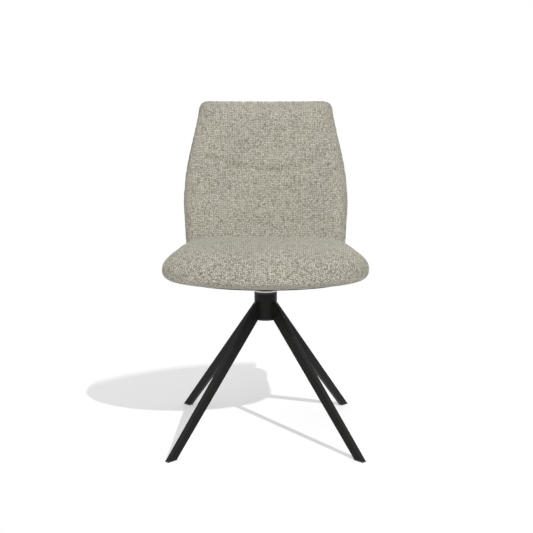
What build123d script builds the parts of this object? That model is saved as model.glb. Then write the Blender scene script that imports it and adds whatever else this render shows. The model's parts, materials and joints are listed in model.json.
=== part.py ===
from build123d import *

import os
from math import asin, cos, degrees, radians, sin, sqrt

# Swivel dining chair. Millimetres, +Z up, the sitter faces -Y. The swivel axis is the Z axis and the
# floor is Z = 0. A steel hub on four tapered legs carries a swivel post. The post's plate carries the
# seat board, and two steel straps carry the back board.

# ---------------------------------------------------------------- base
hub_diameter = 60.0
hub_wall = 4.0
hub_below_legs = 6.5  # from the cap's lower face to where the legs' inner edges meet the hub
hub_above_legs = 24.6  # from where the legs' outer edges meet the hub to the bushing's top face
hub_lip = 4.0  # height of the plastic lips that close the tube at both ends

leg_reach = 340.0  # from the axis to the outer edge of a leg at the floor
leg_foot_depth = 26.6  # radial length of a leg at the floor
leg_outer_height = 356.0  # where the outer edge meets the hub
leg_hub_height = 43.5  # height of a leg's end on the hub
leg_width = 13.2
leg_wall = 1.6
leg_corner = 1.2
leg_first_angle = 45.0
leg_count = 4

glide_flange = 3.0
glide_plug_height = 26.0
glide_fit = 0.15  # gap between a glide's plug and the tube around it
glide_edge = 0.4  # rounding of the long upper edges of a glide's flange

# ---------------------------------------------------------------- swivel
press_gap = 0.1  # gap drawn between pieces that are pressed together
running_gap = 0.05  # radial running clearance on the post
face_gap = 0.2  # axial gap between faces that slide on each other
washer_gap = 0.3  # radial gap inside a loose ring on the post

post_diameter = 30.0
neck_diameter = 35.0
neck_length = 33.6  # from the swivel ring to the plate
post_end_clearance = 4.0  # between the post's end and the cap's floor
cap_floor = 2.5
cap_skirt_height = 8.0
cap_skirt_wall = 1.5
cap_edge = 0.8

upper_sleeve_length = 26.0
lower_sleeve_length = 20.0
bushing_edge = 0.5
lead_in = 1.0  # chamfer at the upper end of the lower bushing and at the post's lower end
circlip_thickness = 1.4
circlip_width = 4.2
circlip_groove_depth = 0.7
circlip_gap_width = 9.0
circlip_offset = 3.5  # from the post's end to the circlip
retainer_diameter = 44.0
retainer_thickness = 2.2

race_diameter = 47.0
race_thickness = 2.2
ball_diameter = 4.8
ball_count = 16
ball_groove_depth = 0.5
cage_thickness = 1.8
cage_width = 9.0
cage_gap = 0.25  # gap around each ball in its cage

ring_diameter = 59.0
ring_thickness = 3.6
ring_edge = 0.6

plate_size = 170.0
plate_thickness = 5.0
plate_corner = 14.0
plate_bolt_spacing = 130.0

# ---------------------------------------------------------------- fasteners
bolt_diameter = 6.0
bolt_head_diameter = 12.0
bolt_head_height = 3.4
bolt_socket_width = 4.0  # across the flats of the hexagon socket
bolt_socket_depth = 2.2
bolt_hole_gap = 0.4  # radial gap around a bolt in a plate
bolt_setback = 1.0  # a bolt ends this far short of the wood's far face
cut_margin = 1.0  # how far a strap's bolt holes are cut past its faces
head_gap = 0.1  # between a flat bolt head or nut flange and the curved face under it
thread_gap = 0.1  # radial gap drawn in place of the thread
nut_barrel_diameter = 8.4
nut_barrel_length = 9.0
nut_flange_diameter = 19.0
nut_flange_thickness = 1.5
nut_gap = 0.3  # gap around a nut's flange in the foam, and its barrel in the wood

# ---------------------------------------------------------------- seat
seat_thickness = 98.0
seat_edge_rise = 26.3  # from the underside to the height where the cushion is widest
seat_front = 292.0  # from the axis to the cushion's front
seat_widest = 119.0  # how far forward of the axis the cushion is widest
seat_half_width = 257.0
seat_rear_half_width = 239.0
seat_rear = 190.0  # before the cushion's rear is shaped to the back
seat_corner = 70.0
seat_side_lean = 0.12  # how far the side line turns inwards for each millimetre back, at its rear end
dome_power = 2.4  # how the dome's width closes towards its top
dome_fullness = 3.5
front_power = 2.36  # how the dome's front closes towards its top
rear_power = 3.4  # how the dome's rear closes towards its top
dome_steps = (0.0, 0.396, 0.661, 0.808, 0.895, 0.947, 0.977, 0.992)
underside_power = 1.75
underside_steps = (1.0, 0.96, 0.84, 0.62, 0.35)
seat_board_scale = 0.70
seat_board_rear = 134.0
seat_underside_scale = 0.745
seat_board_thickness = 12.0
dust_cover_thickness = 1.0
dust_cover_scale = 0.735

# ---------------------------------------------------------------- back
back_height = 458.3
back_lift = 7.0  # from the seat's underside to the back's lower edge
back_top_corner = 26.0
back_bottom_corner = 45.0
back_plan_radius = 838.0  # curve of the back seen from above, at the board's front face
back_side_radius = 1380.0  # curve of the back seen from the side, at the board's front face
back_upright_drop = 17.0  # from the seat's underside down to where that curve is upright
back_board_front = 183.7  # from the axis to the board's front face at that height
back_board_thickness = 10.0
back_board_inset = 14.0
back_pad_thickness = 38.0
back_pad_inset = 5.0  # the pad is this much narrower than the rear panel all round
back_rear_thickness = 16.0
back_seam_depth = 5.0  # the seam between pad and rear panel, behind the board's front face
back_pad_edge = 20.0
back_rear_edge = 12.0
back_seam_edge = 4.5  # rounding of the rear panel's front edge, beside the seam
cover_gap = 0.3  # gap drawn between upholstered pieces that press together
seat_back_gap = 0.5

# Half widths of the back that shape its side line. The lower one's height is above the seat's underside,
# and the three heights over it are below the back's top.
back_foot_half_width = 222.5
back_lower_half_width = 226.0
back_lower_rise = 86.0
back_widest_half_width = 231.0
back_widest_drop = 282.3
back_shoulder_half_width = 220.0
back_shoulder_drop = 169.3
back_neck_half_width = 193.3
back_neck_drop = 39.3
back_top_half_width = 189.3  # where the side lines would meet the top, before the corners are rounded

# ---------------------------------------------------------------- straps that carry the back
strap_width = 40.0
strap_thickness = 5.0
strap_angle = 6.5  # each strap's direction from straight back, about the back's plan centre
strap_front = 91.0  # from the axis to the front end of a strap, along the chair
strap_rise = 176.0  # from the seat's underside to the top of a strap
strap_bend = 6.0  # inside radius where a strap turns up
strap_seat_bolts = (99.0, 123.0)  # from the axis, along the chair
strap_back_bolts = (76.0, 146.0)  # above the seat's underside

# ---------------------------------------------------------------- sizes that follow
hub_radius = hub_diameter / 2
bore_radius = hub_radius - hub_wall
sleeve_radius = bore_radius - press_gap
post_radius = post_diameter / 2
leg_inner_height = leg_outer_height - leg_hub_height
hub_bottom_height = leg_inner_height - hub_below_legs
hub_top_height = leg_outer_height + hub_above_legs
hub_length = hub_top_height - hub_bottom_height
tube_bottom_height = hub_bottom_height + hub_lip
tube_top_height = hub_top_height - hub_lip

bearing_height = 2 * race_thickness + ball_diameter - 2 * ball_groove_depth + face_gap
race_radius = race_diameter / 2
race_bore_radius = post_radius + washer_gap
ball_circle_radius = (race_radius + race_bore_radius) / 2
ring_bottom_height = hub_top_height + face_gap
ring_top_height = ring_bottom_height + ring_thickness
race_seat_height = ring_bottom_height - bearing_height
ball_height = race_seat_height + race_thickness - ball_groove_depth + ball_diameter / 2

post_end_height = hub_bottom_height + cap_floor + post_end_clearance
circlip_height = post_end_height + circlip_offset
retainer_height = circlip_height + circlip_thickness
lower_sleeve_height = retainer_height + retainer_thickness + face_gap
upper_sleeve_height = hub_top_height - upper_sleeve_length

plate_height = ring_top_height + neck_length
dust_cover_height = plate_height + plate_thickness
seat_underside = dust_cover_height + dust_cover_thickness
seat_board_top = seat_underside + seat_board_thickness
seat_equator = seat_underside + seat_edge_rise
seat_top = seat_underside + seat_thickness

back_bottom = seat_underside + back_lift
back_top = back_bottom + back_height
back_upright_height = seat_underside - back_upright_drop
back_lower_height = seat_underside + back_lower_rise
back_widest_height = back_top - back_widest_drop
back_shoulder_height = back_top - back_shoulder_drop
back_neck_height = back_top - back_neck_drop
strap_top = seat_underside + strap_rise

back_centre_y = back_board_front - back_plan_radius
back_axis = Axis((0, back_centre_y, 0), (0, 0, 1))
back_sweep = 40.0
back_profile_low = -4.0  # ends of the back's side curve, in degrees about its centre
back_profile_high = 24.0
outline_reach = 500.0

bolt_grip = plate_thickness + dust_cover_thickness + seat_board_thickness - bolt_setback
strap_bolt_grip = strap_thickness + back_board_thickness - bolt_setback
strap_sides = {"left": -strap_angle, "right": strap_angle}

os.makedirs("parts", exist_ok=True)


def save(builder, name):
    """Label a finished piece and write it."""
    builder.part.label = name
    export_step(builder.part, f"parts/{name}.step")


def disc(radius, height, bottom, bore=0.0, mode=Mode.ADD):
    """A round plate about the swivel axis, with an optional bore."""
    with BuildSketch(Plane.XY.offset(bottom)) as face:
        Circle(radius)
        if bore:
            Circle(bore, mode=Mode.SUBTRACT)
    extrude(face.sketch, amount=height, mode=mode)


# ================================================================ base
def leg_plane(angle):
    """Upright plane through the swivel axis: x runs outwards, y runs up."""
    outward = (cos(radians(angle)), sin(radians(angle)), 0)
    sideways = (sin(radians(angle)), -cos(radians(angle)), 0)
    return Plane(origin=(0, 0, 0), x_dir=outward, z_dir=sideways)


outer_slope = (leg_reach - hub_radius) / leg_outer_height
inner_slope = (leg_reach - leg_foot_depth - hub_radius) / leg_inner_height


def leg_profile(wall, bottom, top):
    """The leg's side view between two heights, inset by a wall."""
    outer_inset = wall * sqrt(1 + outer_slope**2)
    inner_inset = wall * sqrt(1 + inner_slope**2)

    def outer(height):
        return leg_reach - outer_inset - outer_slope * height

    def inner(height):
        return leg_reach - leg_foot_depth + inner_inset - inner_slope * height

    Polygon(
        (outer(bottom), bottom),
        (outer(top), top),
        (inner(top), top),
        (inner(bottom), bottom),
        align=None,
    )


def leg_bar(angle, wall, bottom, top, mode=Mode.ADD):
    """A solid bar along the leg, inset by a wall on all four sides."""
    with BuildSketch(leg_plane(angle)) as side_view:
        leg_profile(wall, bottom, top)
    extrude(side_view.sketch, amount=leg_width / 2 - wall, both=True, mode=mode)


leg_names = ("rear_right", "rear_left", "front_left", "front_right")

for number, place in enumerate(leg_names[:leg_count]):
    leg_angle = leg_first_angle + number * 360 / leg_count

    with BuildPart() as leg:
        leg_bar(leg_angle, 0, glide_flange, leg_outer_height)
        long_edges = leg.edges().group_by(SortBy.LENGTH)[-1] + leg.edges().group_by(SortBy.LENGTH)[-2]
        fillet(long_edges, radius=leg_corner)
        leg_bar(leg_angle, leg_wall, 0, leg_outer_height, mode=Mode.SUBTRACT)
        disc(hub_radius, hub_top_height, 0, mode=Mode.SUBTRACT)
    save(leg, f"leg_{place}")

    with BuildPart() as glide:
        leg_bar(leg_angle, 0, 0, glide_flange)
        fillet(glide.edges().filter_by(Axis.Z, reverse=True).group_by(SortBy.LENGTH)[-1], radius=glide_edge)
        leg_bar(leg_angle, leg_wall + glide_fit, glide_flange, glide_plug_height)
    save(glide, f"foot_glide_{place}")

with BuildPart() as hub_tube:
    disc(hub_radius, tube_top_height - tube_bottom_height, tube_bottom_height, bore=bore_radius)
save(hub_tube, "hub_tube")

with BuildPart() as hub_cap:
    disc(hub_radius, hub_lip, hub_bottom_height)
    fillet(hub_cap.edges().group_by(Axis.Z)[0], radius=cap_edge)
    disc(sleeve_radius, cap_skirt_height, tube_bottom_height)
    disc(
        sleeve_radius - cap_skirt_wall,
        hub_length,
        hub_bottom_height + cap_floor,
        mode=Mode.SUBTRACT,
    )
save(hub_cap, "hub_bottom_cap")

# ================================================================ swivel
with BuildPart() as upper_bushing:
    disc(sleeve_radius, upper_sleeve_length, upper_sleeve_height)
    disc(hub_radius, hub_lip, tube_top_height)
    fillet(upper_bushing.edges().group_by(Axis.Z)[-1], radius=bushing_edge)
    disc(post_radius + running_gap, upper_sleeve_length, upper_sleeve_height, mode=Mode.SUBTRACT)
    disc(race_radius + press_gap, hub_length, race_seat_height, mode=Mode.SUBTRACT)
save(upper_bushing, "upper_bushing")

with BuildPart() as lower_bushing:
    disc(sleeve_radius, lower_sleeve_length, lower_sleeve_height, bore=post_radius + running_gap)
    chamfer(lower_bushing.edges().group_by(Axis.Z)[-1].sort_by(SortBy.LENGTH)[-1], length=lead_in)
save(lower_bushing, "lower_bushing")


def race(bottom, groove_height):
    """A bearing race with its ball groove."""
    disc(race_radius, race_thickness, bottom, bore=race_bore_radius)
    with BuildSketch(Plane.XZ) as groove:
        with Locations((ball_circle_radius, groove_height)):
            Circle(ball_diameter / 2 + running_gap)
    revolve(groove.sketch, axis=Axis.Z, mode=Mode.SUBTRACT)


with BuildPart() as lower_race:
    race(race_seat_height, ball_height)
save(lower_race, "bearing_lower_race")

with BuildPart() as upper_race:
    race(ring_bottom_height - race_thickness, ball_height)
save(upper_race, "bearing_upper_race")

with BuildPart() as bearing_balls:
    with Locations((0, 0, ball_height)):
        with PolarLocations(ball_circle_radius, ball_count):
            Sphere(ball_diameter / 2)
save(bearing_balls, "bearing_balls")

with BuildPart() as ball_cage:
    disc(
        ball_circle_radius + cage_width / 2 - washer_gap,
        cage_thickness,
        ball_height - cage_thickness / 2,
        bore=race_bore_radius + washer_gap,
    )
    with BuildSketch(Plane.XY.offset(ball_height - cage_thickness)):
        with PolarLocations(ball_circle_radius, ball_count):
            Circle(ball_diameter / 2 + cage_gap)
    extrude(amount=2 * cage_thickness, mode=Mode.SUBTRACT)
save(ball_cage, "bearing_ball_cage")

with BuildPart() as swivel_ring:
    disc(ring_diameter / 2, ring_thickness, ring_bottom_height, bore=post_radius + washer_gap)
    chamfer(swivel_ring.edges().group_by(Axis.Z)[-1].sort_by(SortBy.LENGTH)[-1], length=ring_edge)
save(swivel_ring, "swivel_ring")

with BuildPart() as swivel_post:
    disc(post_radius, ring_top_height - post_end_height, post_end_height)
    chamfer(swivel_post.edges().group_by(Axis.Z)[0], length=lead_in)
    with BuildSketch(Plane.XY.offset(circlip_height)):
        Circle(post_radius)
        Circle(post_radius - circlip_groove_depth, mode=Mode.SUBTRACT)
    extrude(amount=circlip_thickness, mode=Mode.SUBTRACT)
    disc(neck_diameter / 2, plate_height - ring_top_height, ring_top_height)
save(swivel_post, "swivel_post")

with BuildPart() as retainer:
    disc(retainer_diameter / 2, retainer_thickness, retainer_height, bore=post_radius + press_gap)
save(retainer, "post_retaining_washer")

with BuildPart() as circlip:
    clip_inner = post_radius - circlip_groove_depth + press_gap
    disc(clip_inner + circlip_width, circlip_thickness, circlip_height, bore=clip_inner)
    with BuildSketch(Plane.XY.offset(circlip_height)):
        with Locations((0, -clip_inner - circlip_width / 2)):
            Rectangle(circlip_gap_width, 2 * circlip_width, mode=Mode.ADD)
    extrude(amount=circlip_thickness, mode=Mode.SUBTRACT)
save(circlip, "post_circlip")

# ================================================================ bolts and nuts
plate_bolt_plane = Plane(origin=(0, 0, plate_height), z_dir=(0, 0, -1))


def strap_plane(angle):
    """Upright plane along a strap: x runs backwards from the back's plan centre, y runs up."""
    backward = (sin(radians(angle)), cos(radians(angle)), 0)
    sideways = (cos(radians(angle)), -sin(radians(angle)), 0)
    return Plane(origin=(0, back_centre_y, 0), x_dir=backward, z_dir=sideways)


def strap_seat_point(angle, along):
    """Where a strap's bolt enters the strap's lower face."""
    distance = along - back_centre_y
    return strap_plane(angle).from_local_coords((distance, plate_height, 0))


def strap_back_plane(angle, height, depth):
    """Plane on the strap's line at a height, its normal square to the back and pointing backwards."""
    turn = asin((height - back_upright_height) / back_side_radius)
    radius = back_side_radius - depth
    local = strap_plane(angle)
    curve_centre = Vector(back_plan_radius + back_side_radius, back_upright_height)
    outward = Vector(-cos(turn), sin(turn))
    point = local.from_local_coords(curve_centre + outward * radius)
    tip = local.from_local_coords(curve_centre + outward * (radius - 1))
    return Plane(origin=point, z_dir=tip - point)


seat_bolt_planes = [
    Plane(origin=(x, y, plate_height), z_dir=(0, 0, -1))
    for x in (-plate_bolt_spacing / 2, plate_bolt_spacing / 2)
    for y in (-plate_bolt_spacing / 2, plate_bolt_spacing / 2)
]
strap_seat_bolt_planes = [
    Plane(origin=strap_seat_point(angle, along), z_dir=(0, 0, -1))
    for angle in strap_sides.values()
    for along in strap_seat_bolts
]
strap_outer_depth = back_board_thickness + cover_gap + strap_thickness
strap_back_bolt_planes = [
    strap_back_plane(angle, height, strap_outer_depth + head_gap)
    for angle in strap_sides.values()
    for height in (seat_underside + rise for rise in strap_back_bolts)
]


def round_bar(plane, radius, start, end, mode=Mode.ADD):
    """A cylinder along a plane's normal, from one distance to another."""
    with BuildSketch(plane.offset(start)) as face:
        Circle(radius)
    extrude(face.sketch, amount=end - start, mode=mode)


def bolt(plane, grip):
    """A button-head bolt whose head stands on the plane and whose shank runs below it."""
    round_bar(plane, bolt_head_diameter / 2, 0, bolt_head_height)
    round_bar(plane, bolt_diameter / 2, -grip, 0)
    with BuildSketch(plane.offset(bolt_head_height)) as socket:
        RegularPolygon(bolt_socket_width / 2, 6, major_radius=False)
    extrude(socket.sketch, amount=-bolt_socket_depth, mode=Mode.SUBTRACT)


def tee_nut(plane, wood_face):
    """A tee nut whose flange lies on the wood's far face, a distance below the plane."""
    bore = bolt_diameter / 2 + thread_gap
    round_bar(plane, nut_flange_diameter / 2, -wood_face - nut_flange_thickness, -wood_face)
    round_bar(plane, nut_barrel_diameter / 2, -wood_face, -wood_face + nut_barrel_length)
    round_bar(plane, bore, -wood_face - 2 * nut_flange_thickness, 0, mode=Mode.SUBTRACT)


def nut_hole(plane, wood_face, mode=Mode.SUBTRACT):
    """The hole for a tee nut's barrel through the wood."""
    round_bar(plane, nut_barrel_diameter / 2 + nut_gap, -wood_face, 0, mode=mode)


def flange_pocket(plane, wood_face, mode=Mode.SUBTRACT):
    """The room for a tee nut's flange in the foam."""
    depth = nut_flange_thickness + nut_gap
    round_bar(plane, nut_flange_diameter / 2 + nut_gap, -wood_face - depth, -wood_face, mode=mode)


seat_wood_face = seat_board_top - plate_height
back_wood_face = strap_outer_depth + 2 * head_gap

with BuildPart() as plate_bolts:
    for place in seat_bolt_planes:
        bolt(place, bolt_grip)
save(plate_bolts, "plate_bolts")

with BuildPart() as strap_seat_bolts_part:
    for place in strap_seat_bolt_planes:
        bolt(place, bolt_grip)
save(strap_seat_bolts_part, "strap_seat_bolts")

with BuildPart() as strap_back_bolts_part:
    for place in strap_back_bolt_planes:
        bolt(place, strap_bolt_grip)
save(strap_back_bolts_part, "strap_back_bolts")

with BuildPart() as seat_tee_nuts:
    for place in seat_bolt_planes + strap_seat_bolt_planes:
        tee_nut(place, seat_wood_face)
save(seat_tee_nuts, "seat_tee_nuts")

with BuildPart() as back_tee_nuts:
    for place in strap_back_bolt_planes:
        tee_nut(place, back_wood_face)
save(back_tee_nuts, "back_tee_nuts")

# ================================================================ mounting plate
with BuildPart() as mounting_plate:
    with BuildSketch(Plane.XY.offset(plate_height)):
        RectangleRounded(plate_size, plate_size, plate_corner)
    extrude(amount=plate_thickness)
    for place in seat_bolt_planes:
        round_bar(place, bolt_diameter / 2 + bolt_hole_gap, -plate_thickness, 0, mode=Mode.SUBTRACT)
save(mounting_plate, "mounting_plate")


# ================================================================ back
def back_outline(inset=0.0):
    """The back seen from the front, drawn in by an inset."""
    with BuildSketch(Plane.XZ) as outline:
        with BuildLine():
            side = Spline(
                (back_foot_half_width - inset, back_bottom + inset),
                (back_lower_half_width - inset, back_lower_height),
                (back_widest_half_width - inset, back_widest_height),
                (back_shoulder_half_width - inset, back_shoulder_height),
                (back_neck_half_width - inset, back_neck_height),
                (back_top_half_width - inset, back_top - inset),
            )
            mirror(side, about=Plane.YZ)
            Line(side @ 1, (-(side @ 1).X, (side @ 1).Y))
            Line(side @ 0, (-(side @ 0).X, (side @ 0).Y))
        make_face()
        fillet(outline.vertices().sort_by(Axis.Y)[:2], radius=back_bottom_corner - inset)
        fillet(outline.vertices().sort_by(Axis.Y)[-2:], radius=back_top_corner - inset)
    return outline.sketch


def back_strip(front, rear):
    """The back's side view between two distances in front of the board's front face."""
    centre = (back_plan_radius + back_side_radius, back_upright_height)
    start = 180 - back_profile_high
    size = back_profile_high - back_profile_low
    with BuildSketch(strap_plane(back_sweep / 2)) as strip:
        with BuildLine():
            outer = CenterArc(centre, back_side_radius + front, start, size)
            inner = CenterArc(centre, back_side_radius + rear, start, size)
            Line(outer @ 0, inner @ 0)
            Line(outer @ 1, inner @ 1)
        make_face()
    return strip.sketch


def back_layer(front, rear):
    """A layer of the curved, leaning back, before it is trimmed."""
    with BuildPart() as layer:
        revolve(back_strip(front, rear), axis=back_axis, revolution_arc=back_sweep)
    return layer.part


def back_shell(front, rear, inset=0.0):
    """A layer of the curved, leaning back, trimmed to its outline."""
    with BuildPart() as shell:
        add(back_layer(front, rear))
        extrude(back_outline(inset), amount=-outline_reach, mode=Mode.INTERSECT)
    return shell.part


def strap_bar(angle, gap=0.0):
    """A strap grown by a gap on every side: flat under the seat, then up behind the back board."""
    centre = Vector(back_plan_radius + back_side_radius, back_upright_height)
    side_radius = back_side_radius - back_board_thickness - cover_gap - strap_thickness / 2
    bend_radius = strap_bend + strap_thickness / 2
    flat_height = plate_height + strap_thickness / 2
    bend_rise = degrees(asin((flat_height + bend_radius - back_upright_height) / (side_radius + bend_radius)))
    top_rise = degrees(asin((strap_top + gap - back_upright_height) / side_radius))
    with BuildSketch(strap_plane(angle)) as side_view:
        with BuildLine():
            upright = CenterArc(centre, side_radius, 180 - top_rise, top_rise - bend_rise)
            bend_centre = centre + Vector(-1, 0).rotate(Axis.Z, -bend_rise) * (side_radius + bend_radius)
            bend = CenterArc(bend_centre, bend_radius, -90, 90 - bend_rise)
            Line((strap_front - back_centre_y - gap, flat_height), bend @ 0)
        trace(line_width=strap_thickness + 2 * gap)
    with BuildPart() as bar:
        extrude(side_view.sketch, amount=strap_width / 2 + gap, both=True)
    return bar.part


board_space = back_shell(cover_gap, -back_board_thickness - cover_gap, back_board_inset - cover_gap)

with BuildPart() as back_board:
    add(back_layer(0, -back_board_thickness))
    for place in strap_back_bolt_planes:
        nut_hole(place, back_wood_face)
    extrude(back_outline(back_board_inset), amount=-outline_reach, mode=Mode.INTERSECT)
save(back_board, "back_board")

with BuildPart() as back_pad:
    add(back_shell(back_pad_thickness, -back_seam_depth, back_pad_inset))
    front_face = back_pad.faces().filter_by(GeomType.TORUS).sort_by(Axis.Y)[0]
    fillet(front_face.edges(), radius=back_pad_edge)
    add(board_space, mode=Mode.SUBTRACT)
    for angle in strap_sides.values():
        add(strap_bar(angle, cover_gap), mode=Mode.SUBTRACT)
    for place in strap_back_bolt_planes:
        flange_pocket(place, back_wood_face)
save(back_pad, "back_pad")

with BuildPart() as back_rear_panel:
    add(back_shell(-back_seam_depth - cover_gap, -back_board_thickness - back_rear_thickness))
    rear_face = back_rear_panel.faces().filter_by(GeomType.TORUS).sort_by(Axis.Y)[-1]
    fillet(rear_face.edges(), radius=back_rear_edge)
    seam_face = back_rear_panel.faces().filter_by(GeomType.TORUS).sort_by(Axis.Y)[0]
    fillet(seam_face.edges(), radius=back_seam_edge)
    add(board_space, mode=Mode.SUBTRACT)
    for angle in strap_sides.values():
        add(strap_bar(angle, cover_gap), mode=Mode.SUBTRACT)
    for place in strap_back_bolt_planes:
        round_bar(place, bolt_head_diameter / 2 + nut_gap, -1, bolt_head_height + nut_gap, Mode.SUBTRACT)
save(back_rear_panel, "back_rear_panel")

for side, angle in strap_sides.items():
    with BuildPart() as strap:
        add(strap_bar(angle))
        for place in strap_seat_bolt_planes + strap_back_bolt_planes:
            hole_radius = bolt_diameter / 2 + bolt_hole_gap
            round_bar(place, hole_radius, -strap_thickness - cut_margin, cut_margin, Mode.SUBTRACT)
    save(strap, f"back_strap_{side}")


# ================================================================ seat
def seat_outline(height, width_scale, front_scale, rear, gap=0.0):
    """The seat seen from above: an elliptical front, sides that narrow, and rounded rear corners."""
    half_width = seat_half_width * width_scale + gap
    rear_half_width = seat_rear_half_width * width_scale + gap
    front_depth = (seat_front - seat_widest) * front_scale + gap
    with BuildSketch(Plane.XY.offset(height)) as outline:
        with BuildLine():
            EllipticalCenterArc(
                (0, -seat_widest), half_width, front_depth, start_angle=180, arc_size=180
            )
            side = Spline(
                (half_width, -seat_widest),
                ((half_width + rear_half_width) / 2, (rear - seat_widest) / 2),
                (rear_half_width, rear),
                tangents=((0, 1), (-seat_side_lean, 1)),
            )
            mirror(side, about=Plane.YZ)
            Line(side @ 1, (-(side @ 1).X, rear))
        make_face()
        length_share = (rear + seat_widest) / (seat_rear + seat_widest)
        fillet(outline.vertices().sort_by(Axis.Y)[-2:], radius=seat_corner * min(width_scale, length_share))
    return outline.sketch


def underside_section(drop):
    """The cushion's outline at a share of its depth below the widest line."""
    height = seat_equator - drop * (seat_equator - seat_underside)
    curve = (1 - drop**underside_power) ** (1 / underside_power)
    scale = seat_underside_scale + (1 - seat_underside_scale) * curve
    return seat_outline(height, scale, scale, seat_rear)


def dome_section(rise):
    """The cushion's outline at a share of its rise above the widest line."""
    height = seat_equator + rise * (seat_top - seat_equator)
    width_scale = (1 - rise**dome_power) ** (1 / dome_fullness)
    front_scale = (1 - rise**front_power) ** (1 / front_power)
    rear_scale = (1 - rise**rear_power) ** (1 / rear_power)
    return seat_outline(
        height, width_scale, front_scale, -seat_widest + rear_scale * (seat_rear + seat_widest)
    )


def seat_panel(bottom, scale, thickness, gap=0.0):
    """A flat panel shaped like the seat, ending in front of the back."""
    with BuildPart() as panel:
        extrude(seat_outline(bottom, scale, scale, seat_board_rear + gap, gap), amount=thickness)
    return panel.part


seat_bolt_places = seat_bolt_planes + strap_seat_bolt_planes
back_space = back_layer(back_pad_thickness + seat_back_gap, -outline_reach)

with BuildPart() as seat_board:
    add(seat_panel(seat_underside, seat_board_scale, seat_board_thickness))
    for place in seat_bolt_places:
        nut_hole(place, seat_wood_face)
save(seat_board, "seat_board")

with BuildPart() as dust_cover:
    add(seat_panel(dust_cover_height, dust_cover_scale, dust_cover_thickness))
    for place in seat_bolt_places:
        round_bar(place, bolt_diameter / 2 + bolt_hole_gap, -seat_wood_face, 0, mode=Mode.SUBTRACT)
save(dust_cover, "seat_dust_cover")

with BuildPart() as seat_cushion:
    lower = [underside_section(drop) for drop in underside_steps]
    upper = [dome_section(rise) for rise in dome_steps]
    loft(lower + upper)
    add(back_space, mode=Mode.SUBTRACT)
    board_pocket = seat_panel(seat_underside, seat_board_scale, seat_board_thickness, cover_gap)
    add(board_pocket, mode=Mode.SUBTRACT)
    for place in seat_bolt_places:
        flange_pocket(place, seat_wood_face)
save(seat_cushion, "seat_cushion")
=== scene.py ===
import json
import math

import bpy
import numpy as np
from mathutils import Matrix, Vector, noise


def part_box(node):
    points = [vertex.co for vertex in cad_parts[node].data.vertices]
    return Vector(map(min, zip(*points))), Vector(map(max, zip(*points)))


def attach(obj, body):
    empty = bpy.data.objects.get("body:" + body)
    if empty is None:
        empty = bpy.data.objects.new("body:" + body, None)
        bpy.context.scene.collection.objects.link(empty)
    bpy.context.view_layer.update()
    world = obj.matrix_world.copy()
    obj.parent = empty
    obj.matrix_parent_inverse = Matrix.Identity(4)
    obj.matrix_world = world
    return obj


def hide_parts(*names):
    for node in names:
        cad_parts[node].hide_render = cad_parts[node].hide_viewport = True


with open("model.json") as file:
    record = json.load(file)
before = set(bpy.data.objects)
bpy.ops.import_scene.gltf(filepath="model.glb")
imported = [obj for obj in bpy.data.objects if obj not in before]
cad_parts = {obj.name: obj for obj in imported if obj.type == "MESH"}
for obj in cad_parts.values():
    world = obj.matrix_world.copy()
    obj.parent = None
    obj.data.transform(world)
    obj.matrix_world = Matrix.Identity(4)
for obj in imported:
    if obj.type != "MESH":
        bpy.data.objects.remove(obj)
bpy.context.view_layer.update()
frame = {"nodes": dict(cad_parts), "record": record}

# Swivel dining chair. Metres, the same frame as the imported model: +Z up, the sitter faces -Y, the swivel
# axis is Z and the floor is Z = 0.

nodes = frame["nodes"]


# ================================================================ small helpers
def points_of(piece):
    """The places of a mesh's points, one row each."""
    flat = np.empty(len(piece.data.vertices) * 3)
    piece.data.vertices.foreach_get("co", flat)
    return flat.reshape(-1, 3)


def normals_of(piece):
    """The directions that a mesh's points face."""
    flat = np.empty(len(piece.data.vertices) * 3)
    piece.data.vertex_normals.foreach_get("vector", flat)
    return flat.reshape(-1, 3)


def move_points(piece, places):
    """Put a mesh's points in new places."""
    piece.data.vertices.foreach_set("co", np.ascontiguousarray(places).ravel())
    piece.data.update()


def ease(value, low, high):
    """0 below low, 1 above high, and smooth between them."""
    share = np.clip((value - low) / (high - low), 0.0, 1.0)
    return share * share * (3.0 - 2.0 * share)


def hump(value, middle, width):
    """A bell of height 1 around a middle."""
    return np.exp(-(((value - middle) / width) ** 2))


def ripple(places, size, seed):
    """Smooth unevenness from about -1 to 1, with hollows and rises of one size."""
    shift = Vector((seed * 3.1, seed * 1.7, seed * 5.3))
    full_height = 1.8
    return np.array([noise.noise(Vector(place) / size + shift) for place in places]) * full_height


def add_object(name, data):
    """A new object in the scene."""
    made = bpy.data.objects.new(name, data)
    bpy.context.scene.collection.objects.link(made)
    return made


def finished_mesh(piece):
    """The mesh that a piece's modifiers or its curve make."""
    depsgraph = bpy.context.evaluated_depsgraph_get()
    return bpy.data.meshes.new_from_object(piece.evaluated_get(depsgraph), depsgraph=depsgraph)


def finish_modifiers(piece):
    """Turn what a piece's modifiers make into its own mesh."""
    finished = finished_mesh(piece)
    piece.modifiers.clear()
    piece.data = finished


def shade_smooth(piece):
    """Let light run smoothly over the edges between a mesh's faces."""
    piece.data.polygons.foreach_set("use_smooth", [True] * len(piece.data.polygons))


# ================================================================ shader building
def fill_socket(tree, socket, value):
    """Give an input its value, or link it where the value is another node's output."""
    if isinstance(value, bpy.types.NodeSocket):
        tree.links.new(value, socket)
    else:
        socket.default_value = value


def add_node(tree, kind, place, inputs=None, **settings):
    """A shader node with its settings and the values or links of its inputs."""
    made = tree.nodes.new(kind)
    made.location = place
    for name, value in settings.items():
        setattr(made, name, value)
    for name, value in (inputs or {}).items():
        fill_socket(tree, made.inputs[name], value)
    return made


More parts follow.
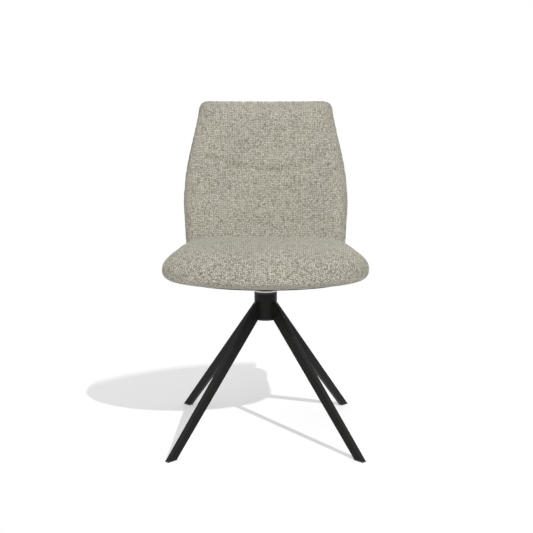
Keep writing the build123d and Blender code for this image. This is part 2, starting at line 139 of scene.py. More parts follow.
def math_node(tree, operation, first, second, place):
    """One step of arithmetic on a value, or on two where the second isn't None."""
    inputs = {0: first} if second is None else {0: first, 1: second}
    return add_node(tree, "ShaderNodeMath", place, inputs, operation=operation).outputs[0]


def sum_node(tree, value, factor, base, place):
    """A value times a factor, plus a base."""
    inputs = {0: value, 1: factor, 2: base}
    return add_node(tree, "ShaderNodeMath", place, inputs, operation="MULTIPLY_ADD").outputs[0]


def scale_node(tree, vector, factor, place):
    """A vector times a factor."""
    inputs = {0: vector, 3: factor}
    return add_node(tree, "ShaderNodeVectorMath", place, inputs, operation="SCALE").outputs[0]


def arch(tree, value, place):
    """Rises from 0 to 1 and back within each whole step of a value."""
    part = math_node(tree, "FRACT", value, None, place)
    turn = math_node(tree, "MULTIPLY", part, math.pi, (place[0] + 180, place[1]))
    return math_node(tree, "SINE", turn, None, (place[0] + 340, place[1]))


def blend_values(tree, share, first, second, place):
    """The first value where the share is 0, the second where it is 1."""
    return add_node(tree, "ShaderNodeMix", place, {0: share, 2: first, 3: second}).outputs[0]


def blend_colours(tree, share, first, second, place, way="MIX"):
    """The first colour where the share is 0, the second where it is 1, or their product."""
    inputs = {0: share, 6: first, 7: second}
    return add_node(tree, "ShaderNodeMix", place, inputs, data_type="RGBA", blend_type=way).outputs[2]


def noise_node(tree, where, scale, detail, place):
    """Cloudy noise: its outputs are a value and a colour."""
    inputs = {"Vector": where, "Scale": scale, "Detail": detail}
    return add_node(tree, "ShaderNodeTexNoise", place, inputs).outputs


def ramp_node(tree, share, stops, place):
    """A colour ramp with (place, colour) stops."""
    made = add_node(tree, "ShaderNodeValToRGB", place, {0: share})
    elements = made.color_ramp.elements
    while len(elements) < len(stops):
        elements.new(0.5)
    for element, (where, colour) in zip(elements, stops):
        element.position = where
        element.color = (*colour, 1.0)
    return made.outputs[0]


def add_bump(tree, shader, height, strength, distance):
    """Raise a material's surface by a height."""
    inputs = {"Strength": strength, "Distance": distance, "Height": height}
    raised = add_node(tree, "ShaderNodeBump", (60, -260), inputs)
    tree.links.new(raised.outputs[0], shader["Normal"])


def mix_shaders(tree, share, first, second, place):
    """The first shader where the share is 0, the second where it is 1."""
    return add_node(tree, "ShaderNodeMixShader", place, {0: share, 1: first, 2: second}).outputs[0]


def object_place(tree, place):
    """The place on the object, in metres."""
    return add_node(tree, "ShaderNodeTexCoord", place).outputs["Object"]


def effect_group(name, inputs, outputs):
    """An empty shader group with named sockets: its tree, what comes in and what goes out."""
    tree = bpy.data.node_groups.new(name, "ShaderNodeTree")
    for label, kind, default in inputs:
        socket = tree.interface.new_socket(name=label, in_out="INPUT", socket_type=kind)
        if default is not None:
            socket.default_value = default
    for label, kind in outputs:
        tree.interface.new_socket(name=label, in_out="OUTPUT", socket_type=kind)
    entry = add_node(tree, "NodeGroupInput", (-1400, 0))
    leave = add_node(tree, "NodeGroupOutput", (1400, 0))
    return tree, entry.outputs, leave.inputs


def use_group(tree, group, place, inputs):
    """Place a shader group in a material, with values or links for its named inputs."""
    return add_node(tree, "ShaderNodeGroup", place, inputs, node_tree=group).outputs


def new_material(name):
    """A material with its shader: the material, its tree and the shader's inputs."""
    material = bpy.data.materials.new(name)
    material.use_nodes = True
    tree = material.node_tree
    shader = tree.nodes["Principled BSDF"]
    shader.location = (300, 0)
    tree.nodes["Material Output"].location = (600, 0)
    return material, tree, shader.inputs


# ---------------------------------------------------------------- shared effects
def yarn_shade(tree, line, thread, start, spread, place):
    """The shade of a yarn, which wanders along its line and changes from thread to thread."""
    shade_length = 0.95
    shade_spread = 2.6
    shade_floor = -0.8
    along = sum_node(tree, line, shade_length, start, (place[0] - 160, place[1]))
    apart = math_node(tree, "MULTIPLY", thread, spread, (place[0] - 160, place[1] - 100))
    where = add_node(tree, "ShaderNodeCombineXYZ", place, {0: along, 1: apart})
    wander = add_node(
        tree,
        "ShaderNodeTexNoise",
        (place[0] + 160, place[1]),
        {"Vector": where.outputs[0], "Scale": 1.0, "Detail": 1.0},
        noise_dimensions="2D",
    )
    return sum_node(tree, wander.outputs[0], shade_spread, shade_floor, (place[0] + 320, place[1]))


def pulled_cloth(tree, stitched, slub):
    """The place on the cloth in stitches, pulled a little out of line as uneven yarn pulls it."""
    wave_scale = 0.35
    full_pull = 4.0
    wander = noise_node(tree, stitched, wave_scale, detail=2.0, place=(-1200, -250))
    centred = add_node(
        tree,
        "ShaderNodeVectorMath",
        (-1000, -250),
        {0: wander["Color"], 1: (0.5, 0.5, 0.5)},
        operation="SUBTRACT",
    )
    pull = math_node(tree, "MULTIPLY", slub, full_pull, (-1000, -420))
    pulled = scale_node(tree, centred.outputs[0], pull, (-820, -250))
    return add_node(
        tree, "ShaderNodeVectorMath", (-640, 0), {0: stitched, 1: pulled}, operation="ADD"
    ).outputs[0]


def woven_melange():
    """Plain weave of uneven loopy yarn. Cloth is the place on the flat cloth in metres."""
    roundness = 0.45
    loops_per_stitch = 2.4
    loop_share = 0.45
    cloud_scale = 0.05
    tree, given, made = effect_group(
        "woven_melange",
        [
            ("Cloth", "NodeSocketVector", None),
            ("Stitches", "NodeSocketFloat", 280.0),
            ("Slub", "NodeSocketFloat", 0.5),
        ],
        [("Thread", "NodeSocketFloat"), ("Tint", "NodeSocketFloat"), ("Height", "NodeSocketFloat")],
    )
    stitched = scale_node(tree, given["Cloth"], given["Stitches"], (-1200, 0))
    cloth = pulled_cloth(tree, stitched, given["Slub"])
    axes = add_node(tree, "ShaderNodeSeparateXYZ", (-460, 0), {0: cloth}).outputs
    column = math_node(tree, "FLOOR", axes[0], None, (-280, 160))
    row = math_node(tree, "FLOOR", axes[1], None, (-280, 0))
    crossing = math_node(tree, "ADD", column, row, (-100, 100))
    warp_over = math_node(tree, "FLOORED_MODULO", crossing, 2.0, (60, 100))

    across = arch(tree, axes[0], (-280, -160))
    along = arch(tree, axes[1], (-280, -300))
    weft_crown = sum_node(tree, across, roundness, 1.0 - roundness, (60, -460))
    warp_crown = sum_node(tree, along, roundness, 1.0 - roundness, (60, -600))
    weft = math_node(tree, "MULTIPLY", along, weft_crown, (240, -200))
    warp = math_node(tree, "MULTIPLY", across, warp_crown, (240, -340))
    height = blend_values(tree, warp_over, weft, warp, (420, -260))

    weft_yarn = yarn_shade(tree, axes[0], row, start=0.0, spread=3.1, place=(60, 620))
    warp_yarn = yarn_shade(tree, axes[1], column, start=40.0, spread=5.7, place=(60, 820))
    yarn = blend_values(tree, warp_over, weft_yarn, warp_yarn, (420, 640))
    loops = add_node(
        tree,
        "ShaderNodeTexVoronoi",
        (60, 300),
        {"Vector": scale_node(tree, cloth, loops_per_stitch, (-100, 300)), "Scale": 1.0},
        voronoi_dimensions="2D",
    )
    shade = add_node(tree, "ShaderNodeSeparateXYZ", (240, 300), {0: loops.outputs["Color"]})
    clouds = noise_node(tree, stitched, cloud_scale, detail=3.0, place=(60, 1040))
    mixed = blend_values(tree, loop_share, yarn, shade.outputs[0], (600, 420))
    tree.links.new(mixed, made["Thread"])
    tree.links.new(clouds[0], made["Tint"])
    tree.links.new(height, made["Height"])
    return tree


def fine_grain():
    """Fine bumps and a slow mottling, for coats, mouldings and metal."""
    tree, given, made = effect_group(
        "fine_grain",
        [("Size", "NodeSocketFloat", 0.001), ("Mottle Size", "NodeSocketFloat", 0.05)],
        [("Mottle", "NodeSocketFloat"), ("Height", "NodeSocketFloat")],
    )
    where = object_place(tree, (-1200, 200))
    fine_scale = math_node(tree, "DIVIDE", 1.0, given["Size"], (-1100, 0))
    slow_scale = math_node(tree, "DIVIDE", 1.0, given["Mottle Size"], (-1100, -160))
    fine = noise_node(tree, where, fine_scale, detail=2.0, place=(-700, 100))
    slow = noise_node(tree, where, slow_scale, detail=4.0, place=(-700, -200))
    tree.links.new(slow[0], made["Mottle"])
    tree.links.new(fine[0], made["Height"])
    return tree


weave_effect = woven_melange()
grain_effect = fine_grain()


# ---------------------------------------------------------------- materials
def cover_cloth():
    """Beige-grey melange upholstery cloth with loopy yarn and painted weave shading. Strained cloth shows
    more contrast.
    """
    cool = (0.93, 0.94, 0.96, 1.0)
    warm = (1.07, 1.06, 1.04, 1.0)
    valley_painted_shade = 0.52
    crown_painted_light = 0.78
    least_rough = 0.82
    rough_gain = 0.12
    material, tree, shader = new_material("cover_cloth")
    cloth = add_node(
        tree, "ShaderNodeAttribute", (-900, 0), attribute_type="GEOMETRY", attribute_name="cloth"
    ).outputs["Vector"]
    weave = use_group(tree, weave_effect, (-680, 0), {"Cloth": cloth, "Stitches": 206.0, "Slub": 0.45})
    strain = add_node(tree, "ShaderNodeSeparateXYZ", (-680, 300), {0: cloth}).outputs[2]
    uneven = sum_node(tree, weave["Thread"], 1.0, -0.5, (-680, 160))
    contrast = sum_node(tree, uneven, strain, weave["Thread"], (-560, 160))
    thread_colours = [
        (0.10, (0.178, 0.162, 0.127)),
        (0.34, (0.300, 0.281, 0.229)),
        (0.58, (0.363, 0.343, 0.287)),
        (0.88, (0.455, 0.434, 0.375)),
    ]
    thread = ramp_node(tree, contrast, thread_colours, (-420, 160))
    tint = blend_colours(tree, weave["Tint"], cool, warm, (-420, -120))
    tinted = blend_colours(tree, 1.0, thread, tint, (-140, 100), "MULTIPLY")
    # Painted shade and light: the weave's height darkens the colour in its valleys and lightens it on its
    # crowns.
    depth = sum_node(tree, weave["Height"], crown_painted_light, valley_painted_shade, (-420, -320))
    painted_weave_shading = blend_colours(tree, 1.0, tinted, depth, (60, 100), "MULTIPLY")
    tree.links.new(painted_weave_shading, shader["Base Color"])
    rough = sum_node(tree, weave["Thread"], rough_gain, least_rough, (-140, -160))
    tree.links.new(rough, shader["Roughness"])
    add_bump(tree, shader, weave["Height"], strength=0.75, distance=0.0009)
    shader["Specular IOR Level"].default_value = 0.2
    shader["Sheen Weight"].default_value = 0.08
    shader["Sheen Roughness"].default_value = 0.5
    return material


def grained(name, low, high, roughness, metallic=0.0, bump=0.1, size=0.001, specular=0.5):
    """A solid finish whose colour and roughness vary a little, with a fine grain."""
    rough_spread = 0.16
    material, tree, shader = new_material(name)
    grain = use_group(tree, grain_effect, (-680, 0), {"Size": size, "Mottle Size": 0.05})
    colour = ramp_node(tree, grain["Mottle"], [(0.3, low), (0.7, high)], (-420, 120))
    tree.links.new(colour, shader["Base Color"])
    rough = sum_node(tree, grain["Mottle"], rough_spread, roughness - rough_spread / 2, (-420, -140))
    tree.links.new(rough, shader["Roughness"])
    shader["Metallic"].default_value = metallic
    shader["Specular IOR Level"].default_value = specular
    add_bump(tree, shader, grain["Height"], bump, distance=0.0003)
    return material


def birch_plywood():
    """Raw plywood with long pale grain."""
    grain_scale = (160.0, 9.0, 160.0)
    material, tree, shader = new_material("birch_plywood")
    stretched = add_node(
        tree,
        "ShaderNodeMapping",
        (-900, 0),
        {"Vector": object_place(tree, (-1100, 0)), "Scale": grain_scale},
    )
    fibres = noise_node(tree, stretched.outputs[0], scale=1.0, detail=5.0, place=(-700, 0))
    grain_colours = [(0.3, (0.46, 0.31, 0.17)), (0.7, (0.66, 0.49, 0.31))]
    colour = ramp_node(tree, fibres[0], grain_colours, (-420, 0))
    tree.links.new(colour, shader["Base Color"])
    shader["Roughness"].default_value = 0.65
    add_bump(tree, shader, fibres[0], strength=0.15, distance=0.0004)
    return material


def dust_fleece():
    """Thin black spunbonded cloth with a fine dotted emboss."""
    dots_per_metre = 620.0
    material, tree, shader = new_material("dust_fleece")
    dots = add_node(
        tree,
        "ShaderNodeTexVoronoi",
        (-800, 0),
        {"Vector": object_place(tree, (-1100, 0)), "Scale": dots_per_metre, "Randomness": 0.15},
    )
    grain = use_group(tree, grain_effect, (-800, -300), {"Size": 0.0012, "Mottle Size": 0.03})
    fleece_colours = [(0.3, (0.016, 0.016, 0.017)), (0.7, (0.030, 0.030, 0.031))]
    colour = ramp_node(tree, grain["Mottle"], fleece_colours, (-420, 0))
    tree.links.new(colour, shader["Base Color"])
    shader["Roughness"].default_value = 0.8
    add_bump(tree, shader, dots.outputs["Distance"], strength=0.3, distance=0.0003)
    return material


finishes = {
    "cover_cloth": cover_cloth(),
    "black_steel": grained(
        "black_powder_coat",
        (0.0045, 0.0042, 0.0038),
        (0.0068, 0.0063, 0.0058),
        roughness=0.42,
        bump=0.12,
        size=0.0009,
        specular=0.14,
    ),
    "glide_plastic": grained(
        "black_moulding",
        (0.010, 0.010, 0.010),
        (0.016, 0.016, 0.016),
        roughness=0.55,
        bump=0.15,
        specular=0.4,
    ),
    "bushing_plastic": grained(
        "bushing_moulding",
        (0.012, 0.012, 0.013),
        (0.018, 0.018, 0.019),
        roughness=0.5,
        bump=0.1,
        specular=0.4,
    ),
    "cage_plastic": grained(
        "cage_moulding", (0.66, 0.64, 0.56), (0.74, 0.72, 0.64), roughness=0.5, bump=0.1
    ),
    "bright_steel": grained(
        "zinc_plate",
        (0.50, 0.50, 0.50),
        (0.62, 0.62, 0.62),
        roughness=0.32,
        metallic=1.0,
        bump=0.06,
        size=0.0006,
    ),
    "ball_steel": grained(
        "ball_steel", (0.72, 0.72, 0.73), (0.80, 0.80, 0.80), roughness=0.14, metallic=1.0, bump=0.02
    ),
    "plywood": birch_plywood(),
    "dust_cloth": dust_fleece(),
}

for entry in frame["record"]["subparts"]:
    solid = nodes[entry["node"]]
    solid.data.materials.clear()
    solid.data.materials.append(finishes[entry["material_slot"]])


# ================================================================ soft pieces
def soft_copy(node, name, voxel, rounding):
    """An evenly meshed copy of a soft solid, with its corners rounded off."""
    piece = add_object(name, nodes[node].data.copy())
    even = piece.modifiers.new("even_mesh", "REMESH")
    even.mode = "VOXEL"
    even.voxel_size = voxel
    rounded = piece.modifiers.new("rounded", "SMOOTH")
    rounded.factor = 0.5
    rounded.iterations = rounding
    finish_modifiers(piece)
    return piece


def puff(piece, held, pressure, limit):
    """Stuff a cover with pressure while some points are held, and limit how far any point goes."""
    last_step = 20
    hold_step = 0.25
    start = points_of(piece)
    group = piece.vertex_groups.new(name="held")
    for strength in (0.25, 0.5, 0.75, 1.0):
        chosen = np.flatnonzero((held > strength - hold_step) & (held <= strength))
        group.add([int(index) for index in chosen], strength, "REPLACE")
    cover = piece.modifiers.new("cover", "CLOTH")
    cover.settings.quality = 5
    cover.settings.mass = 0.3
    cover.settings.bending_stiffness = 2.0
    cover.settings.use_pressure = True
    cover.settings.uniform_pressure_force = pressure
    cover.settings.effector_weights.gravity = 0.0
    cover.settings.vertex_group_mass = "held"
    cover.collision_settings.use_collision = False
    cover.point_cache.frame_start = 1
    cover.point_cache.frame_end = last_step
    for step in range(1, last_step + 1):
        bpy.context.scene.frame_set(step)
    finish_modifiers(piece)
    bpy.context.scene.frame_set(1)
    moved = points_of(piece) - start
    length = np.linalg.norm(moved, axis=1, keepdims=True) + 1e-9
    move_points(piece, start + moved * (limit * np.tanh(length / limit) / length))


def refine(piece):
    """One subdivision, which makes the cover's curves smooth."""
    finer = piece.modifiers.new("finer", "SUBSURF")
    finer.levels = 1
    finish_modifiers(piece)
    shade_smooth(piece)


def fill_box(piece, low, high):
    """Stretch a piece a little so that it fills a box."""
    places = points_of(piece)
    first = places.min(0)
    last = places.max(0)
    size = np.array(high) - np.array(low)
    move_points(piece, np.array(low) + (places - first) * size / (last - first))


def store_cloth(piece, flat, strain=0.0):
    """Keep each point's place on the flat cloth, and how far the cloth is strained there.

    The cover's shader reads them from the attribute "cloth": the place as x and y, the strain as z.
    """
    layer = piece.data.attributes.new("cloth", "FLOAT_VECTOR", "POINT")
    full = np.zeros((len(flat), 3))
    full[:, :2] = flat
    full[:, 2] = strain
    layer.data.foreach_set("vector", full.ravel())


def dress(piece, node):
    """Put the cover cloth on a soft piece that stands for a CAD solid."""
    piece.data.materials.clear()
    piece.data.materials.append(finishes["cover_cloth"])
    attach(piece, "seat")
    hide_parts(node)


# ---------------------------------------------------------------- seat cushion
# The flat cloth is measured out from a middle on the cushion's top: in slots all around it, and in slots of
# turn from the top to the underside. Past fold_turn, in radians, the cloth runs back inwards.
cloth_middle_y = -0.06
bearing_slots = 120
turn_slots = 60
rim_share = 0.998
fold_turn = 2.25
seat_strain = 0.30

# The cushion rests on its board within held_half_width of the middle line. It is fuller than its solid low
# on its flanks, and on its shoulders towards the rear.
held_half_width = 0.20
flank_height = 0.4395
flank_bulge = 0.0040
shoulder_side = 0.195
shoulder_bulge = 0.0045


def mean_by_slot(slot, values, known):
    """The mean of the values in each slot that has any."""
    count = np.bincount(slot, minlength=turn_slots)[known]
    return np.bincount(slot, weights=values, minlength=turn_slots)[known] / count


def radial_cloth(places):
    """The place on the flat cloth of a cushion's points, measured out over its top and back in underneath.

    A point's turn is 0 at the top and pi at the bottom.
    """
    middle = np.array([0.0, cloth_middle_y])
    spread = places[:, :2] - middle
    reach = np.linalg.norm(spread, axis=1) + 1e-9
    bearing = np.arctan2(spread[:, 1], spread[:, 0])
    slots = np.linspace(-math.pi, math.pi, bearing_slots + 1)
    rims = np.zeros(bearing_slots)
    np.maximum.at(rims, np.clip(np.digitize(bearing, slots) - 1, 0, bearing_slots - 1), reach)
    rim = np.interp(bearing, (slots[:-1] + slots[1:]) / 2, rims, period=2 * math.pi)

    waist = np.median(places[reach > rim * rim_share, 2])
    half = (places[:, 2].max() - places[:, 2].min()) / 2
    turn = np.arctan2(reach / rim, (places[:, 2] - waist) / half)
    steps = np.linspace(0.0, math.pi, turn_slots + 1)
    step = np.clip(np.digitize(turn, steps) - 1, 0, turn_slots - 1)
    known = np.flatnonzero(np.bincount(step, minlength=turn_slots))
    share = mean_by_slot(step, reach / rim, known)
    height = mean_by_slot(step, places[:, 2], known)
    turns = (steps[:-1] + steps[1:])[known] / 2

    travelled = []
    for width in (rims.min(), rims.max()):
        lengths = np.hypot(np.diff(share) * width, np.diff(height))
        line = share[0] * width + np.concatenate([[0.0], np.cumsum(lengths)])
        folded = np.interp(fold_turn, turns, line)
        travelled.append(np.interp(turn, turns, folded - np.abs(line - folded)))
    wide = (rim - rims.min()) / (rims.max() - rims.min())
    travelled = travelled[0] * (1.0 - wide) + travelled[1] * wide
    return middle + spread * (travelled / reach)[:, None]


def seat_cushion_cover():
    """The crowned seat cushion, turned under its board."""
    board_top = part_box("seat_board")[1].z
    piece = soft_copy("seat_cushion", "seat_cushion_cover", voxel=0.006, rounding=8)
    places = points_of(piece)
    on_board = ease(-places[:, 2], low=-(board_top + 0.008), high=-(board_top + 0.002))
    inside = ease(held_half_width - np.abs(places[:, 0]), low=0.0, high=0.01)
    puff(piece, on_board * inside, pressure=3.0, limit=0.006)
    refine(piece)

    places = points_of(piece)
    facing = normals_of(piece)
    sideways = np.abs(places[:, 0])
    soft = ripple(places, size=0.09, seed=1) * 0.0010 + ripple(places, size=0.035, seed=2) * 0.0004
    low_flank = ease(sideways, low=0.16, high=0.23) * hump(places[:, 2], flank_height, width=0.011)
    top_rear = ease(places[:, 2], low=0.475, high=0.495) * ease(places[:, 1], low=-0.12, high=0.0)
    soft += flank_bulge * low_flank
    soft += shoulder_bulge * hump(sideways, shoulder_side, width=0.030) * top_rear
    places += facing * soft[:, None]
    move_points(piece, places)
    fill_box(piece, *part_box("seat_cushion"))
    store_cloth(piece, radial_cloth(points_of(piece)), seat_strain)
    dress(piece, "seat_cushion")


# ---------------------------------------------------------------- back
# The two radii of the back board's front face, the height at which it stands upright and the plan's centre.
# The pad's front and the panel's rear are depths from that face, forwards.
back_plan_radius = 0.838
back_side_radius = 1.380
back_upright_height = 0.407
back_centre_y = 0.1837 - back_plan_radius
pad_front = 0.038
panel_rear = -0.026

# The crease's height is a polynomial of the place across the back, in shares of crease_span. Around
# side_place the crease is wider and a little shallower, and it fades out between the places of crease_end.
crease_span = 0.2
crease_bends = (-0.02322, 0.02156, 0.07524, -0.00904, 0.69455)
crease_depth = 0.0052
crease_width = 0.0095
crease_strength = 0.96
crease_end = (0.165, 0.215)
side_place = 0.125
side_reach = 0.060
side_widening = 0.0060
side_fading = 0.06
tuck_height = 0.0011
tuck_size = 0.022

# The soft forms beside the crease: how far each stands out, its middle above the crease and its width.
head_roll = (0.0050, 0.021, 0.018)
head_crown = (0.0030, 0.075, 0.055)
lumbar_hollow = (-0.0022, -0.020, 0.018)
overhang = (-0.0045, 0.010, 0.012)


def back_depth(places):
    """How far points lie in front of the back board's front face, and the direction forward."""
    plan = np.hypot(places[:, 0], places[:, 1] - back_centre_y)
    inwards = back_plan_radius + back_side_radius - plan
    upwards = places[:, 2] - back_upright_height
    reach = np.hypot(inwards, upwards)
    level = inwards / reach
    forward = np.stack(
        [
            -level * places[:, 0] / plan,
            -level * (places[:, 1] - back_centre_y) / plan,
            upwards / reach,
        ],
        axis=1,
    )
    return reach - back_side_radius, forward


def crease_height(across):
    """The height of the crease between the head and lumbar cushions, at a place across the back."""
    return np.polyval(crease_bends, across / crease_span)


def stand_out(above, form):
    """How far a soft form beside the crease stands out, at a height above it."""
    amount, middle, width = form
    return amount * hump(above, middle, width)


def fold_pad(places, facing_forward):
    """Push the crease into the pad: the head cushion bulges over it, and folds run into its ends."""
    across = places[:, 0]
    step = 0.001
    slope = (crease_height(across + step) - crease_height(across - step)) / (2 * step)
    above = (places[:, 2] - crease_height(across)) / np.sqrt(1 + slope**2)
    fade = 1.0 - ease(np.abs(across), *crease_end)
    side = hump(np.abs(across), side_place, side_reach)
    strength = fade * (crease_strength - side_fading * side)
    groove = -crease_depth * hump(above, 0.0, crease_width + side_widening * side) * strength
    roll = stand_out(above, head_roll) * strength
    crown = stand_out(above, head_crown) * (1.0 - ease(np.abs(across), low=0.15, high=0.22))
    hollow = stand_out(above, lumbar_hollow) * strength
    drawn_out = np.stack([across * 1.6, above * 0.35, 0 * across], axis=1)
    tucks = tuck_height * ripple(drawn_out, tuck_size, seed=4)
    tucks *= hump(above, middle=-0.004, width=0.030) * fade
    out = (groove + roll + crown + hollow + tucks) * facing_forward
    down = stand_out(above, overhang) * strength * facing_forward
    return out, down


def store_back_cloth(piece, places, face, way):
    """Keep the place on the flat cloth, which runs on over the rim by the depth past a face.

    The way is 1 where the cloth's rim lies in front of the face and -1 where it lies behind it.
    """
    past = np.clip(way * (back_depth(places)[0] - face), 0.0, None)
    outward = normals_of(piece)[:, [0, 2]]
    outward = outward / (np.linalg.norm(outward, axis=1, keepdims=True) + 1e-6)
    store_cloth(piece, places[:, [0, 2]] + outward * past[:, None])


def back_pad_cover():
    """The padded front of the back, with its crease."""
    piece = soft_copy("back_pad", "back_pad_cover", voxel=0.005, rounding=6)
    depth = back_depth(points_of(piece))[0]
    puff(piece, 1.0 - ease(depth, low=0.001, high=0.008), pressure=2.5, limit=0.005)
    fill_box(piece, *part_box("back_pad"))
    refine(piece)

    places = points_of(piece)
    depth, forward = back_depth(places)
    out, down = fold_pad(places, ease(depth, low=0.006, high=0.026))
    soft = ripple(places, size=0.10, seed=6) * 0.0012 + ripple(places, size=0.030, seed=7) * 0.0004
    out += soft * ease(depth, low=0.004, high=0.020)
    places = places + forward * out[:, None]
    places[:, 2] += down
    move_points(piece, places)
    store_back_cloth(piece, places, pad_front, -1.0)
    dress(piece, "back_pad")


def back_panel_cover():
    """The thinner padded rear of the back."""
    piece = soft_copy("back_rear_panel", "back_rear_panel_cover", voxel=0.005, rounding=4)
    depth = back_depth(points_of(piece))[0]
    puff(piece, ease(depth, low=-0.013, high=-0.009), pressure=2.0, limit=0.003)
    fill_box(piece, *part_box("back_rear_panel"))
    refine(piece)

    places = points_of(piece)
    depth, forward = back_depth(places)
    soft = ripple(places, size=0.11, seed=8) * 0.0009 + ripple(places, size=0.030, seed=9) * 0.0003
    soft = soft * ease(-depth, low=0.010, high=0.020)
    places = places - forward * soft[:, None]
    move_points(piece, places)
    store_back_cloth(piece, places, panel_rear, 1.0)
    dress(piece, "back_rear_panel")


seat_cushion_cover()
back_pad_cover()
back_panel_cover()


# ================================================================ small made pieces
def wire_piece(name, runs, radius, body, slot_name, closed=False, swell=0.0):
    """Round wire or bead along one or more runs of points."""
    curve = bpy.data.curves.new(name, "CURVE")
    curve.dimensions = "3D"
    curve.bevel_depth = radius
    curve.bevel_resolution = 3
    curve.use_fill_caps = True
    for run in runs:
        spline = curve.splines.new("POLY")
        spline.points.add(len(run) - 1)
        spline.use_cyclic_u = closed
        for number, (point, place) in enumerate(zip(spline.points, run)):
            point.co = (*place, 1.0)
            point.radius = 1.0 + swell * math.sin(number * 1.9)
    holder = add_object(name + "_line", curve)
    mesh = finished_mesh(holder)
    bpy.data.objects.remove(holder)
    piece = add_object(name, mesh)
    shade_smooth(piece)
    mesh.materials.append(finishes[slot_name])
    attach(piece, body)


def quarter_turn(centre, radius, start, steps):
    """Points around a quarter of a circle, from a bearing in degrees."""
    line = []
    for step in range(steps + 1):
        bearing = math.radians(start + step * 90.0 / steps)
        line.append((centre[0] + radius * math.cos(bearing), centre[1] + radius * math.sin(bearing)))
    return line


# The bead's line runs on the hub's wall, around the end of a leg.
weld_hub_radius = 0.0303
weld_half_width = 0.0069
weld_low = 0.3135
weld_high = 0.3563
weld_corner = 0.0022
weld_step = 0.0012


def weld_run(angle):
    """The bead around a leg where it meets the hub."""
    side = weld_half_width - weld_corner
    top = weld_high - weld_corner
    bottom = weld_low + weld_corner
    outline = []
    for number, centre in enumerate(((side, top), (-side, top), (-side, bottom), (side, bottom))):
        outline += quarter_turn(centre, weld_corner, start=90 * number, steps=5)
    dense = []
    for (x0, z0), (x1, z1) in zip(outline, outline[1:] + outline[:1]):
        count = max(1, round(math.hypot(x1 - x0, z1 - z0) / weld_step))
        dense += [(x0 + (x1 - x0) * step / count, z0 + (z1 - z0) * step / count) for step in range(count)]
    run = []
    for sideways, height in dense:
        bearing = math.radians(angle) + math.asin(sideways / weld_hub_radius)
        run.append((weld_hub_radius * math.cos(bearing), weld_hub_radius * math.sin(bearing), height))
    return run


wire_piece(
    "leg_weld_beads",
    [weld_run(angle) for angle in (45, 135, 225, 315)],
    radius=0.0012,
    body="base",
    slot_name="black_steel",
    closed=True,
    swell=0.16,
)

# The dust cover's outline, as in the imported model, and the staples along it.
cover_half_width = 0.1889
cover_rear_half = 0.1757
cover_front = 0.1272
cover_rear = 0.134
cover_widest = -0.119
cover_corner = 0.052
staple_count = 44
staple_inset = 0.007
staple_half = 0.0048
staple_sag = 0.0004
staple_leg = 0.0008


def dust_cover_edge(inset, count):
    """Evenly spaced places and directions along the dust cover's edge, drawn in by an inset."""
    ahead_step = 0.004
    line = []
    for turn in range(0, 181, 3):
        bearing = math.radians(180 + turn)
        x = (cover_half_width - inset) * math.cos(bearing)
        line.append((x, cover_widest + (cover_front - inset) * math.sin(bearing)))
    line.append((cover_rear_half - inset, cover_rear - cover_corner))
    for side, start in ((1, 0), (-1, 90)):
        centre = (side * (cover_rear_half - cover_corner), cover_rear - cover_corner)
        line += quarter_turn(centre, cover_corner - inset, start, steps=9)
    line = np.array(line + line[:1])
    steps = np.linalg.norm(np.diff(line, axis=0), axis=1)
    travelled = np.concatenate([[0.0], np.cumsum(steps)])
    wanted = (np.arange(count) + 0.5) * travelled[-1] / count
    later = (wanted + ahead_step) % travelled[-1]
    places = np.stack([np.interp(wanted, travelled, line[:, axis]) for axis in (0, 1)], axis=1)
    ahead = np.stack([np.interp(later, travelled, line[:, axis]) for axis in (0, 1)], axis=1)
    direction = ahead - places
    return places, direction / np.linalg.norm(direction, axis=1, keepdims=True)


def staple_runs():
    """Wire staples that hold the dust cover's edge."""
    runs = []
    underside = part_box("seat_dust_cover")[0].z
    crown = underside - staple_sag
    leg = underside + staple_leg
    for (x, y), (dx, dy) in zip(*dust_cover_edge(staple_inset, staple_count)):
        near = (x - dx * staple_half, y - dy * staple_half)
        far = (x + dx * staple_half, y + dy * staple_half)
        runs.append([(*near, leg), (*near, crown), (*far, crown), (*far, leg)])
    return runs


wire_piece("dust_cover_staples", staple_runs(), radius=0.00045, body="seat", slot_name="bright_steel")


# ================================================================ stage
# The floor fades from shaded to plain white between two distances from the swivel axis.
floor_reach = 5.0
floor_drop = 0.0005
fade_start = 0.69
fade_end = 0.75
white = (1.0, 1.0, 1.0, 1.0)


def looked_at(tree):
    """1 where the camera, a reflection or something clear shows the backdrop, otherwise 0."""
    path = tree.nodes.new("ShaderNodeLightPath")
    seen = math_node(tree, "MAXIMUM", path.outputs["Is Camera Ray"], path.outputs["Is Glossy Ray"], (0, 400))
    return math_node(tree, "MAXIMUM", seen, path.outputs["Is Transmission Ray"], (200, 400))


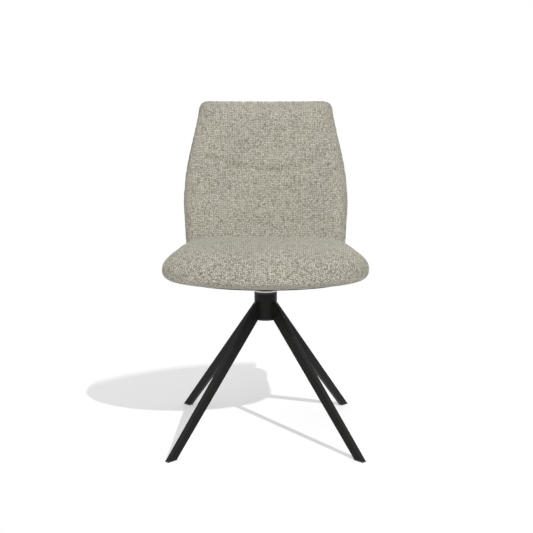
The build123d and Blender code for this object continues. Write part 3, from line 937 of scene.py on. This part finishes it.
def floor_paint():
    """White where it is seen, with the chair's shadow near the chair, and clear from beneath."""
    material = bpy.data.materials.new("floor_paint")
    material.use_nodes = True
    tree = material.node_tree
    tree.nodes.clear()
    paint = add_node(tree, "ShaderNodeBsdfDiffuse", (0, 200), {"Color": (0.87, 0.87, 0.87, 1.0)}).outputs[0]
    glow = add_node(tree, "ShaderNodeEmission", (0, 0), {"Color": white, "Strength": 0.016}).outputs[0]
    near = add_node(tree, "ShaderNodeAddShader", (200, 100), {0: paint, 1: glow}).outputs[0]
    far = add_node(tree, "ShaderNodeEmission", (0, 100), {"Color": white, "Strength": 1.0}).outputs[0]
    distance = add_node(
        tree, "ShaderNodeVectorMath", (-400, 0), {0: object_place(tree, (-600, 0))}, operation="LENGTH"
    )
    fade = add_node(
        tree,
        "ShaderNodeMapRange",
        (-200, 0),
        {"Value": distance.outputs["Value"], "From Min": fade_start, "From Max": fade_end},
    )
    seen = mix_shaders(tree, fade.outputs[0], near, far, (400, 100))
    unseen = add_node(tree, "ShaderNodeBsdfDiffuse", (0, -200), {"Color": (0.55, 0.55, 0.55, 1.0)}).outputs[0]
    chosen = mix_shaders(tree, looked_at(tree), unseen, seen, (600, 0))
    clear = add_node(tree, "ShaderNodeBsdfTransparent", (400, -200)).outputs[0]
    rear_face = add_node(tree, "ShaderNodeNewGeometry", (200, 600)).outputs["Backfacing"]
    from_beneath = math_node(tree, "MULTIPLY", rear_face, looked_at(tree), (400, 400))
    one_sided = mix_shaders(tree, from_beneath, chosen, clear, (800, 0))
    add_node(tree, "ShaderNodeOutputMaterial", (1000, 0), {"Surface": one_sided})
    return material


def studio_floor():
    """A pale floor, just under the glides."""
    mesh = bpy.data.meshes.new("studio_floor")
    corners = [(x * floor_reach, y * floor_reach, 0) for x, y in ((-1, -1), (1, -1), (1, 1), (-1, 1))]
    mesh.from_pydata(corners, [], [(0, 1, 2, 3)])
    mesh.materials.append(floor_paint())
    floor = add_object("studio_floor", mesh)
    floor.location.z = -floor_drop


def studio_world():
    """An even pale surround, white where it is seen."""
    world = bpy.data.worlds.new("studio")
    bpy.context.scene.world = world
    world.use_nodes = True
    tree = world.node_tree
    tree.nodes.clear()
    soft = add_node(tree, "ShaderNodeBackground", (0, 0), {"Color": white, "Strength": 0.36}).outputs[0]
    seen = add_node(tree, "ShaderNodeBackground", (0, -200), {"Color": white, "Strength": 1.0}).outputs[0]
    chosen = mix_shaders(tree, looked_at(tree), soft, seen, (400, 0))
    add_node(tree, "ShaderNodeOutputWorld", (600, 0), {"Surface": chosen})


def key_light():
    """The small lamp that throws the shadow: from the right, in front and above."""
    lamp = bpy.data.lights.new("key", "POINT")
    lamp.energy = 23.0
    lamp.shadow_soft_size = 0.05
    lamp.use_nodes = True
    tree = lamp.node_tree
    falloff = add_node(tree, "ShaderNodeLightFalloff", (-300, 0), {"Strength": 1.0})
    tree.links.new(falloff.outputs["Constant"], tree.nodes["Emission"].inputs["Strength"])
    add_object("key", lamp).location = (2.517, -4.633, 4.664)


def broad_light(name, strength, towards):
    """A broad light without a shadow of its own, that shines from a direction seen from the chair."""
    lamp = bpy.data.lights.new(name, "SUN")
    lamp.energy = strength
    lamp.angle = math.radians(60.0)
    lamp.use_shadow = False
    add_object(name, lamp).rotation_euler = Vector(towards).to_track_quat("Z", "Y").to_euler()


def photo_camera():
    """The camera fitted to the photograph: its lens, its place and how far it looks down."""
    downwards = 8.012
    lens = bpy.data.cameras.new("view")
    lens.lens = 57.09
    lens.sensor_width = 36.0
    holder = add_object("view", lens)
    holder.location = (0.0022, -2.206, 0.7565)
    holder.rotation_euler = (math.radians(90.0 - downwards), 0.0, 0.0)
    bpy.context.scene.camera = holder


studio_floor()
studio_world()
key_light()
broad_light("left_fill", strength=1.64, towards=(-0.50, -0.48, 0.85))
broad_light("rear_fill", strength=1.2, towards=(0.35, 0.85, 0.30))
broad_light("low_fill", strength=1.45, towards=(0.0, -0.6, -0.7))
photo_camera()
bpy.context.scene.view_settings.view_transform = "Standard"
